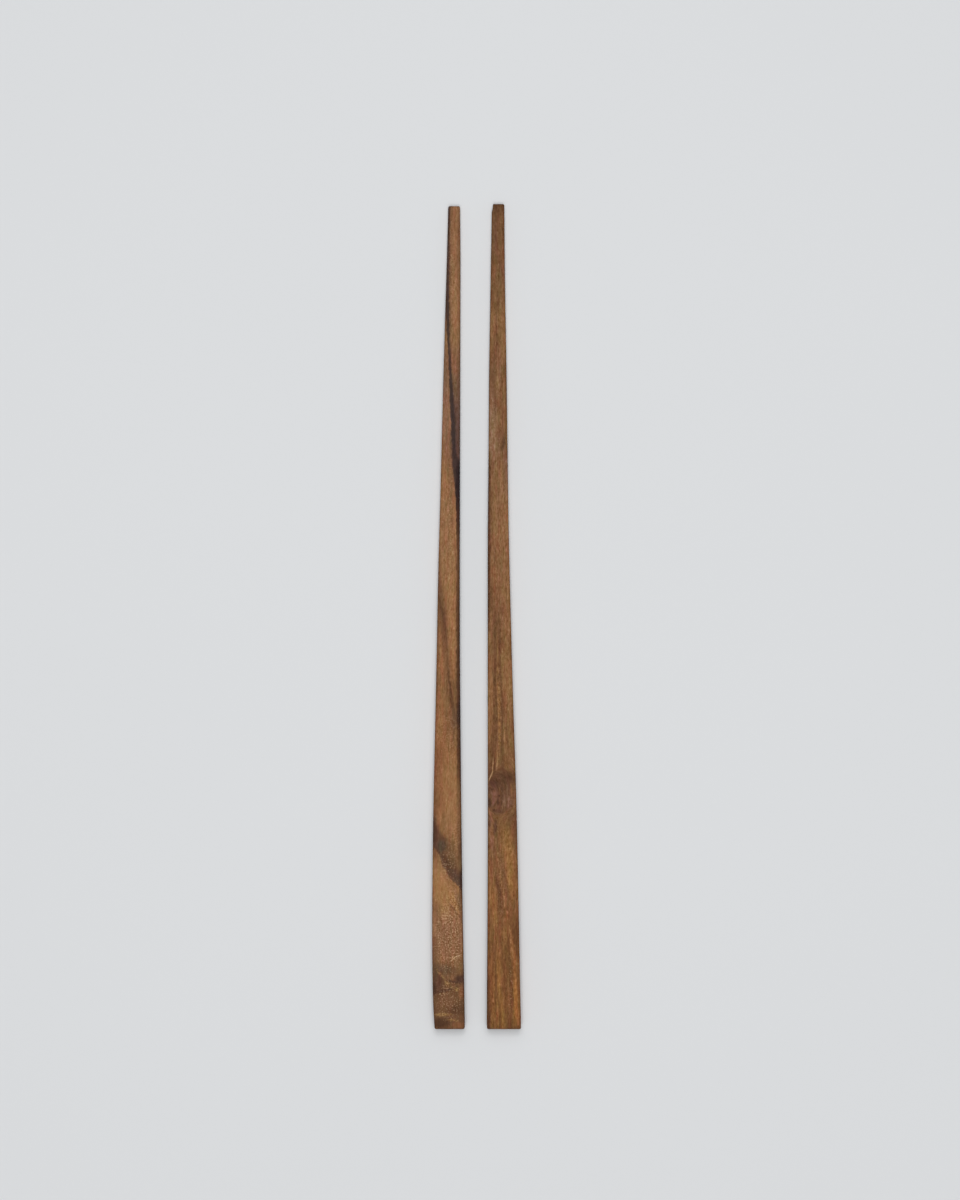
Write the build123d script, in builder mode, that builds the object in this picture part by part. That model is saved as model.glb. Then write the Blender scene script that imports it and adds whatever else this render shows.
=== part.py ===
from build123d import *

import os

# A pair of square tapered wooden chopsticks, lying flat side by side with their tips towards +Y.
# The table is the plane Z = 0 and the origin is the middle of the pair on it. Sizes are in millimetres.

# Sizes along the sticks
left_length = 239.4
right_length = 240.0

# Sizes across, seen from above: the tip's end and the widest place, near the butt
left_tip_width = 3.4
left_butt_width = 9.15
right_tip_width = 3.6
right_butt_width = 9.95

# Heights above the table: both sticks were sawn from one board
tip_thickness = 3.3
butt_thickness = 9.0

# The sanded edges, ends included
edge_radius = 0.45

# How the pair is laid: the middles of the two tips, and how far each stick leans out by its butt
tip_spacing = 12.85
left_splay = 2.0
right_splay = 1.6

# The flake that is missing from the inner corner of the right tip
flake_width = 0.3
flake_length = 1.8

# What a cut reaches past the wood it removes
overrun = 1.0

# Stations along a stick, as shares of its length from the tip
station_shares = [0.0, 0.06, 0.25, 0.5, 0.75, 0.93, 1.0]

# At each station, the share reached of the growth from tip width to butt width
left_growth_shares = [0.0, 0.1, 0.308, 0.545, 0.842, 1.0, 0.93]
right_growth_shares = [0.0, 0.06, 0.268, 0.482, 0.769, 0.939, 1.0]

# At each station, how far the stick's middle has moved out, as a share of its splay
left_lean_shares = [0.0, 0.06, 0.42, 0.8, 1.0, 0.85, 0.63]
right_lean_shares = [0.0, -0.06, -0.05, 0.19, 0.77, 0.95, 1.0]

# Which side of the pair a stick lies on, as the sign of its X
left_side = -1
right_side = 1

os.makedirs("parts", exist_ok=True)


def outline_edges(side, length, tip_width, butt_width, splay, growth_shares, lean_shares):
    """Points of a stick's two long edges from tip to butt, the one nearer the other stick first."""
    inner_edge = []
    outer_edge = []
    for station, growth, lean in zip(station_shares, growth_shares, lean_shares):
        middle = tip_spacing / 2 + splay * lean
        half_width = (tip_width + (butt_width - tip_width) * growth) / 2
        along = length * (1 - station)
        inner_edge.append((side * (middle - half_width), along))
        outer_edge.append((side * (middle + half_width), along))
    return inner_edge, outer_edge


def sawn_stick(inner_edge, outer_edge, length):
    """A stick with sharp edges: its outline raised to the board's height, then sawn to its taper."""
    with BuildPart() as stick:
        with BuildSketch(Plane.XY):
            with BuildLine():
                Spline(*inner_edge)
                Spline(*outer_edge)
                Line(inner_edge[0], outer_edge[0])
                Line(inner_edge[-1], outer_edge[-1])
            make_face()
        extrude(amount=max(butt_thickness, tip_thickness))
        with BuildSketch(Plane.YZ):
            with BuildLine():
                Polyline(
                    (0, 0),
                    (length, 0),
                    (length, tip_thickness),
                    (0, butt_thickness),
                    close=True,
                )
            make_face()
        across = max(abs(x) for x, along in inner_edge + outer_edge) + overrun
        extrude(amount=across, both=True, mode=Mode.INTERSECT)
    return stick.part


# The left stick
left_inner, left_outer = outline_edges(
    left_side,
    left_length,
    left_tip_width,
    left_butt_width,
    left_splay,
    left_growth_shares,
    left_lean_shares,
)
with BuildPart() as left_stick:
    add(sawn_stick(left_inner, left_outer, left_length))
    fillet(left_stick.edges(), radius=edge_radius)

# The right stick: the flake broke off its inner tip corner after the edges were sanded
right_inner, right_outer = outline_edges(
    right_side,
    right_length,
    right_tip_width,
    right_butt_width,
    right_splay,
    right_growth_shares,
    right_lean_shares,
)
flake_corner_x = right_inner[0][0]
with BuildPart() as right_stick:
    add(sawn_stick(right_inner, right_outer, right_length))
    fillet(right_stick.edges(), radius=edge_radius)
    with BuildSketch(Plane.XY):
        with BuildLine():
            Polyline(
                (flake_corner_x, right_length - flake_length),
                (flake_corner_x + flake_width, right_length),
                (flake_corner_x + flake_width, right_length + overrun),
                (flake_corner_x - overrun, right_length + overrun),
                (flake_corner_x - overrun, right_length - flake_length),
                close=True,
            )
        make_face()
    extrude(amount=tip_thickness + overrun, mode=Mode.SUBTRACT)

# The pair is moved so that its middle on the table is the origin
left_box = left_stick.part.bounding_box()
right_box = right_stick.part.bounding_box()
pair_middle_x = (left_box.min.X + right_box.max.X) / 2
pair_middle_y = max(left_length, right_length) / 2
to_origin = Location((-pair_middle_x, -pair_middle_y, 0))

chopstick_left = left_stick.part.moved(to_origin)
chopstick_left.label = "chopstick_left"
export_step(chopstick_left, "parts/chopstick_left.step")

chopstick_right = right_stick.part.moved(to_origin)
chopstick_right.label = "chopstick_right"
export_step(chopstick_right, "parts/chopstick_right.step")
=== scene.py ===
import math

import bpy
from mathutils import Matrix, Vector, noise


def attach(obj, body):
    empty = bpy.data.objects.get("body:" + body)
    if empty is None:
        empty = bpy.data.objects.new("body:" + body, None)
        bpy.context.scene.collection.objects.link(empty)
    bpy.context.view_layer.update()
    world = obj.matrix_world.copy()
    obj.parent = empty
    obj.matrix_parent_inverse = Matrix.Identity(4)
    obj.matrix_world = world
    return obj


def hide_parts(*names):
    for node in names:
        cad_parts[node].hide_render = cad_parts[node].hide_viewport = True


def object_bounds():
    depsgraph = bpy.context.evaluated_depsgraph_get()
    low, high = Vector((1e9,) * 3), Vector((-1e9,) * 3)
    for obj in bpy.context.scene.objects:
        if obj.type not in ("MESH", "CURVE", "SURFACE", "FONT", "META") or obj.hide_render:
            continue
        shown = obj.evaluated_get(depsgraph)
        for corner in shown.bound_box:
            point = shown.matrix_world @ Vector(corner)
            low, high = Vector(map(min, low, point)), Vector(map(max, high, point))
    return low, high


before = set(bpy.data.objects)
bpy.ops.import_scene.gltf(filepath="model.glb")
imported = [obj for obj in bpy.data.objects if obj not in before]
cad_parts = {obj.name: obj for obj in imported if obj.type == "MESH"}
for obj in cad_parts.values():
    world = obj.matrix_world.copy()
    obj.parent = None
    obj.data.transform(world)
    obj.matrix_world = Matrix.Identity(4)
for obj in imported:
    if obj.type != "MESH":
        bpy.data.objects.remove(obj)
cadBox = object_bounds()
print("frame loaded")

mm = 0.001
buttY = cadBox[0].y  # both butts end on this line


# The camera looks straight down, with the tips at the top of the picture

camera = {
    "lens": 120.0,
    "sensor": 36.0,
    "frameHeight": 349.0,  # mm of table from the top of the picture to the bottom
    "level": 6.0,  # height at which that holds
    "centre": (1.0, 4.54),
    "reach": 20.0,  # metres that it sees
}


def placeCamera(wanted):
    lensData = bpy.data.cameras.new("overhead_camera")
    lensData.lens = wanted["lens"]
    lensData.sensor_width = wanted["sensor"]
    lensData.clip_end = wanted["reach"]
    eye = bpy.data.objects.new("overhead_camera", lensData)
    height = wanted["frameHeight"] * wanted["lens"] / wanted["sensor"] + wanted["level"]
    eye.location = (wanted["centre"][0] * mm, wanted["centre"][1] * mm, height * mm)
    bpy.context.scene.collection.objects.link(eye)
    bpy.context.scene.camera = eye


placeCamera(camera)
bpy.context.scene.view_settings.view_transform = "Standard"


# How the two sticks are shaped. Outlines are (mm from the tip, x of the left edge, x of the right edge),
# heights are above the table, and everything stays inside the frame's boxes

leftShape = {
    "node": "chopstick_left",
    "slot": "veined_wood",
    "length": 239.4,
    "tipHeight": 3.3,
    "buttHeight": 8.97,
    "outline": [
        (0.0, -8.28, -4.82), (3.0, -8.34, -4.80), (14.6, -8.64, -4.70), (37.9, -9.33, -4.74),
        (61.2, -9.97, -4.80), (84.4, -10.55, -4.86), (107.7, -11.18, -4.90), (131.0, -11.62, -4.85),
        (154.3, -12.12, -4.67), (177.6, -12.60, -4.43), (200.8, -12.86, -4.13), (212.5, -12.91, -3.92),
        (224.1, -12.80, -3.66), (232.0, -12.60, -3.52), (239.4, -12.20, -3.42),
    ],
    "arris": 0.42,
    "arrisDrift": 0.14,  # how much the sanded edges vary along the stick
    "endRound": 0.5,
    "flake": None,
    "seed": 3.0,
}

rightShape = {
    "node": "chopstick_right",
    "slot": "straight_grained_wood",
    "length": 239.99,
    "tipHeight": 3.3,
    "buttHeight": 8.97,
    "outline": [
        (0.0, 4.48, 8.08), (3.6, 4.42, 8.13), (15.3, 4.20, 8.22), (26.9, 4.02, 8.36), (50.2, 3.65, 8.76),
        (73.5, 3.48, 9.05), (96.8, 3.28, 9.40), (120.0, 3.26, 9.97), (143.3, 3.26, 10.61),
        (166.6, 3.28, 11.38), (178.2, 3.28, 11.70), (201.5, 3.22, 12.18), (224.8, 3.06, 12.62),
        (236.4, 3.00, 12.86), (239.99, 3.01, 12.90),
    ],
    "arris": 0.40,
    "arrisDrift": 0.12,
    "endRound": 0.42,
    "flake": [(0.0, 0.42), (1.2, 0.30), (1.75, 0.16), (2.1, 0.0)],  # mm from the tip, mm gone from the edge
    "flakeFoot": 0.75,  # the share of that which is gone at the table
    "flakeRag": {"share": 0.2, "seed": 2.2, "slant": 3, "wave": 0.9},  # how ragged the broken face is
    "seed": 8.0,
}

meshing = {
    "ringPitch": 0.3,
    "acrossFlat": 11,  # faces across each flat side
    "roundArc": 6,  # faces round each long edge
    "endRings": 6,  # faces round each end edge
    "capRings": 7,  # faces from an end's edge to its middle
    "edgeWave": 17.0,  # mm along the stick in which the sanded edges change
    "edgeSeed": 5.1,  # keeps the changes of the four edges apart
    "endEase": 0.75,  # how far the long edges get sharper as an end is rounded off
    "leastRadius": 0.08,
    "tool": 0.02,  # mm of unevenness left by the plane and the sandpaper
    "toolShares": (0.5, 0.5, 0.35),  # of it: taken everywhere, in long waves and in ripples
    "wave": (0.9, 9.0),  # long waves to each mm across, and mm along a wave
    "ripple": (0.7, 3.5),  # mm across and along a ripple
    "footing": 0.6,  # mm above the table in which it fades out, so that the underside stays flat
    "mapStrips": 3,  # the unrolled stick is cut into this many lengths, laid side by side
    "mapGap": 1.6,
    "mapEnds": (10.0, 24.0),  # how far across the map the middles of the tip's and the butt's faces lie
}


def onLine(points, at, column=1):
    # a smooth line through the points: one of their columns, at a place along the stick
    places = [point[0] for point in points]
    values = [point[column] for point in points]
    last = len(points) - 1
    here = 0
    while here < last - 1 and at > places[here + 1]:
        here += 1

    def slope(number):
        before, after = max(number - 1, 0), min(number + 1, last)
        return (values[after] - values[before]) / (places[after] - places[before])

    gap = places[here + 1] - places[here]
    share = min(max((at - places[here]) / gap, 0.0), 1.0)
    square, cube = share ** 2, share ** 3
    return (
        values[here] * (2 * cube - 3 * square + 1)
        + values[here + 1] * (3 * square - 2 * cube)
        + slope(here) * gap * (cube - 2 * square + share)
        + slope(here + 1) * gap * (cube - square)
    )


def drift(seed, at, wave):
    # slow unevenness, about -1 to 1
    return noise.noise(Vector((seed, at / wave, seed * 0.37))) * 1.6


def stationsOf(shape):
    # (mm from the tip, how far the section is drawn in) of every ring, from tip to butt
    length, endRound, steps = shape["length"], shape["endRound"], meshing["endRings"]
    turns = [math.radians(90 * step / steps) for step in range(steps)]
    tipEnd = [(endRound * (1 - math.cos(turn)), endRound * (1 - math.sin(turn))) for turn in turns]
    plain = length - 2 * endRound
    count = round(plain / meshing["ringPitch"])
    body = [(endRound + plain * step / count, 0.0) for step in range(count + 1)]
    return tipEnd + body + [(length - at, inset) for at, inset in reversed(tipEnd)]


def sectionAt(shape, at, inset):
    # one closed section as [x, z, how rounded it is there], from the middle of the underside and
    # anticlockwise as the butt is looked at
    left = onLine(shape["outline"], at, 1) + inset
    right = onLine(shape["outline"], at, 2) - inset
    top = shape["tipHeight"] + (shape["buttHeight"] - shape["tipHeight"]) * at / shape["length"] - inset
    steps = meshing["roundArc"]
    arcs = []
    for number, (atRight, atTop) in enumerate([(True, False), (True, True), (False, True), (False, False)]):
        change = drift(shape["seed"] + meshing["edgeSeed"] * number, at, meshing["edgeWave"])
        wanted = shape["arris"] + shape["arrisDrift"] * change
        radius = max(wanted - meshing["endEase"] * inset, meshing["leastRadius"])
        middleX = right - radius if atRight else left + radius
        middleZ = top - radius if atTop else inset + radius
        arc = []
        for step in range(steps + 1):
            angle = math.radians(90 * (number - 1 + step / steps))
            rounded = 1 - abs(2 * step / steps - 1)
            arc.append([middleX + radius * math.cos(angle), middleZ + radius * math.sin(angle), rounded])
        arcs.append(arc)
    points = []
    for number, arc in enumerate(arcs):
        points += arc
        startX, startZ = arc[-1][:2]
        stopX, stopZ = arcs[(number + 1) % 4][0][:2]
        for step in range(1, meshing["acrossFlat"]):
            share = step / meshing["acrossFlat"]
            points.append([startX + (stopX - startX) * share, startZ + (stopZ - startZ) * share, 0.0])
    half = meshing["acrossFlat"] // 2
    points = points[-half:] + points[:-half]
    if shape["flake"] and at < shape["flake"][-1][0]:
        takeFlake(shape, at, points)
    return points


def takeFlake(shape, at, points):
    # the flake left a ragged flat place on the inner tip corner, deepest on top
    foot, rag = shape["flakeFoot"], shape["flakeRag"]
    for point in points:
        ragged = rag["share"] * drift(rag["seed"], at + rag["slant"] * point[1], rag["wave"])
        gone = foot + (1 - foot) * point[1] / shape["tipHeight"] + ragged
        edge = onLine(shape["outline"], at, 1) + max(onLine(shape["flake"], at) * gone, 0.0)
        if point[0] < edge:
            point[0] = edge
            point[2] = 0.0


def surfaceOf(shape, stations, sections):
    # every point of the four sides in metres, and how worn it is, from 0 to 1
    tipY = buttY / mm + shape["length"]
    everywhere, inWaves, inRipples = meshing["toolShares"]
    wavesAcross, waveLength = meshing["wave"]
    rippleWidth, rippleLength = meshing["ripple"]
    points, wear = [], []
    for (at, inset), section in zip(stations, sections):
        total = Vector((sum(point[0] for point in section), 0, sum(point[1] for point in section)))
        middle = total / len(section)
        for x, z, rounded in section:
            wave = Vector((x * wavesAcross + shape["seed"], at / waveLength, z * wavesAcross))
            ripple = Vector((x / rippleWidth, at / rippleLength + shape["seed"], z / rippleWidth))
            uneven = everywhere + inWaves * noise.noise(wave) + inRipples * noise.noise(ripple)
            worn = meshing["tool"] * uneven
            worn *= min(z / meshing["footing"], 1.0)
            flat = Vector((x, 0, z))
            flat -= (flat - middle).normalized() * worn
            points.append((flat.x * mm, (tipY - at) * mm, max(flat.z, 0.0) * mm))
            wear.append(max(rounded, 1.0 if inset else 0.0))
    return points, wear


class Unrolled:
    # the map that colours are baked through: the stick unrolled in a few lengths side by side, with its two
    # ends below them
    def __init__(self, shape, stations, sections):
        self.stations = stations
        self.gap, strips = meshing["mapGap"], meshing["mapStrips"]
        self.girths = []
        for section in sections:
            run = [0.0]
            for point, beyond in zip(section, section[1:] + section[:1]):
                run.append(run[-1] + math.hypot(beyond[0] - point[0], beyond[1] - point[1]))
            self.girths.append(run)
        self.stripLength = shape["length"] / strips
        self.stripOf = [min(int(at / self.stripLength), strips - 1) for at, inset in stations]
        self.stripLeft = [self.gap]
        for strip in range(strips):
            widest = max(run[-1] for run, owner in zip(self.girths, self.stripOf) if owner == strip)
            self.stripLeft.append(self.stripLeft[-1] + widest + 2 * self.gap)
        self.endRow = self.stripLength + 3 * self.gap
        self.side = max(self.stripLeft[-1], self.endRow + shape["buttHeight"] + self.gap)

    def onSide(self, strip, ring, column):
        across = self.stripLeft[strip] + self.girths[ring][column]
        down = self.gap + self.stations[ring][0] - strip * self.stripLength
        return across / self.side, down / self.side

    def onEnd(self, spot):
        return spot.x / self.side, (self.endRow + spot.z) / self.side


def buildStick(shape):
    stations = stationsOf(shape)
    sections = [sectionAt(shape, at, inset) for at, inset in stations]
    count = len(sections[0])
    points, wear = surfaceOf(shape, stations, sections)
    unrolled = Unrolled(shape, stations, sections)

    faces, mapPlaces = [], []
    for ring in range(len(sections) - 1):
        near, far = ring * count, (ring + 1) * count
        for column in range(count):
            beside = (column + 1) % count
            faces.append((near + column, near + beside, far + beside, far + column))
            corners = ((ring, column), (ring, column + 1), (ring + 1, column + 1), (ring + 1, column))
            mapPlaces += [unrolled.onSide(unrolled.stripOf[ring], *corner) for corner in corners]

    def closeEnd(rim, mapLeft, facesTip):
        # rings of faces, each smaller than the last, that meet in the middle of the end
        centre = sum((Vector(points[index]) for index in rim), Vector()) / count
        onMap = Vector((mapLeft, 0, shape["buttHeight"] / 2))
        outer = rim
        for ring in range(1, meshing["capRings"] + 1):
            if ring == meshing["capRings"]:
                inner = [len(points)] * count
                points.append(tuple(centre))
            else:
                inner = list(range(len(points), len(points) + count))
                shrink = 1 - ring / meshing["capRings"]
                points.extend(tuple(centre + (Vector(points[index]) - centre) * shrink) for index in rim)
            wear.extend([0.0] * (len(points) - len(wear)))
            for column in range(count):
                beside = (column + 1) % count
                face = [outer[column], outer[beside], inner[beside], inner[column]]
                if inner[beside] == inner[column]:
                    face.pop()
                if facesTip:
                    face.reverse()
                faces.append(tuple(face))
                for index in face:
                    mapPlaces.append(unrolled.onEnd((Vector(points[index]) - centre) / mm + onMap))
            outer = inner

    tipLeft, buttLeft = meshing["mapEnds"]
    closeEnd(list(range(count)), tipLeft, True)
    closeEnd([(len(sections) - 1) * count + column for column in range(count)], buttLeft, False)

    mesh = bpy.data.meshes.new(shape["node"] + "_wood")
    mesh.from_pydata(points, [], faces)
    mesh.shade_smooth()
    flatPlaces = [value for place in mapPlaces for value in place]
    mesh.uv_layers.new(name="OFBake").data.foreach_set("uv", flatPlaces)
    mesh.attributes.new("wear", "FLOAT", "POINT").data.foreach_set("value", wear)
    stick = bpy.data.objects.new(shape["node"] + "_wood", mesh)
    bpy.context.scene.collection.objects.link(stick)
    print(shape["node"], "has", len(faces), "faces, on a map", round(unrolled.side), "mm wide")
    return stick


# Colours are written as they look on a screen, 0 to 255

def tone(red, green, blue):
    def linear(level):
        share = level / 255
        return share / 12.92 if share <= 0.04045 else ((share + 0.055) / 1.055) ** 2.4
    return (linear(red), linear(green), linear(blue), 1.0)


# A recipe puts together the nodes of a material or of the world. Each node is made after the ones that feed
# it, because the renderer has room for few half-done values at a time, and shows a material that needs more
# as black

class Recipe:
    def __init__(self, owner):
        owner.use_nodes = True
        self.tree = owner.node_tree

    def node(self, kind, **settings):
        made = self.tree.nodes.new(kind)
        for name, value in settings.items():
            setattr(made, name, value)
        return made

    def plug(self, socket, value):
        if isinstance(value, bpy.types.NodeSocket):
            self.tree.links.new(value, socket)
        else:
            socket.default_value = value

    def fill(self, made, values, output=0):
        for socket, value in zip(made.inputs, values):
            self.plug(socket, value)
        return made.outputs[output]

    def calc(self, operation, *values):
        return self.fill(self.node("ShaderNodeMath", operation=operation), values)

    def times(self, first, second):
        return self.calc("MULTIPLY", first, second)

    def minus(self, first, second):
        return self.calc("SUBTRACT", first, second)

    def vector(self, operation, *values):
        return self.fill(self.node("ShaderNodeVectorMath", operation=operation), values)

    def distance(self, place):
        return self.fill(self.node("ShaderNodeVectorMath", operation="LENGTH"), [place], "Value")

    def join(self, *values):
        return self.fill(self.node("ShaderNodeCombineXYZ"), values)

    def split(self, place):
        made = self.node("ShaderNodeSeparateXYZ")
        self.plug(made.inputs[0], place)
        return made.outputs

    def grains(self, place, size, detail=2.0, rough=0.5, output="Fac", shift=0.0):
        # noise with grains of about size (x, y, z), in the units of place
        spread = self.vector("DIVIDE", place, size)
        if shift:
            spread = self.vector("ADD", spread, (shift, shift, shift))
        made = self.node("ShaderNodeTexNoise")
        self.plug(made.inputs["Vector"], spread)
        made.inputs["Scale"].default_value = 1.0
        made.inputs["Detail"].default_value = detail
        made.inputs["Roughness"].default_value = rough
        return made.outputs[output]

    def swing(self, place, size, detail=2.0):
        # uneven shifts each way, from -0.5 to 0.5
        return self.vector("SUBTRACT", self.grains(place, size, detail, output="Color"), (0.5, 0.5, 0.5))

    def fade(self, value, low, high):
        # 0 at low, 1 at high, smooth between
        made = self.node("ShaderNodeMapRange", interpolation_type="SMOOTHSTEP")
        self.plug(made.inputs["Value"], value)
        self.plug(made.inputs["From Min"], low)
        self.plug(made.inputs["From Max"], high)
        return made.outputs["Result"]

    def curve(self, points, along, length):
        # a value that changes along the stick, through (mm from the tip, value) points
        least = min(value for at, value in points)
        span = max(value for at, value in points) - least or 1.0
        reached = self.calc("DIVIDE", along, length)
        made = self.node("ShaderNodeFloatCurve")
        line = made.mapping.curves[0]
        for number, (at, value) in enumerate(points):
            spot = (at / length, (value - least) / span)
            if number < 2:
                line.points[number].location = spot
            else:
                line.points.new(*spot)
        for point in line.points:
            point.handle_type = "AUTO_CLAMPED"
        made.mapping.update()
        self.plug(made.inputs["Value"], reached)
        return self.calc("MULTIPLY_ADD", made.outputs[0], span, least)

    def between(self, share, first, second):
        # first where share is 0, second where it is 1
        return self.calc("ADD", self.times(first, self.minus(1.0, share)), self.times(second, share))

    def mix(self, amount, first, second):
        made = self.node("ShaderNodeMix", data_type="RGBA")
        for number, value in ((0, amount), (6, first), (7, second)):
            self.plug(made.inputs[number], value)
        return made.outputs[2]


# The veined wood of the left stick. Places are x and mm from the tip on the top face

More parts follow.
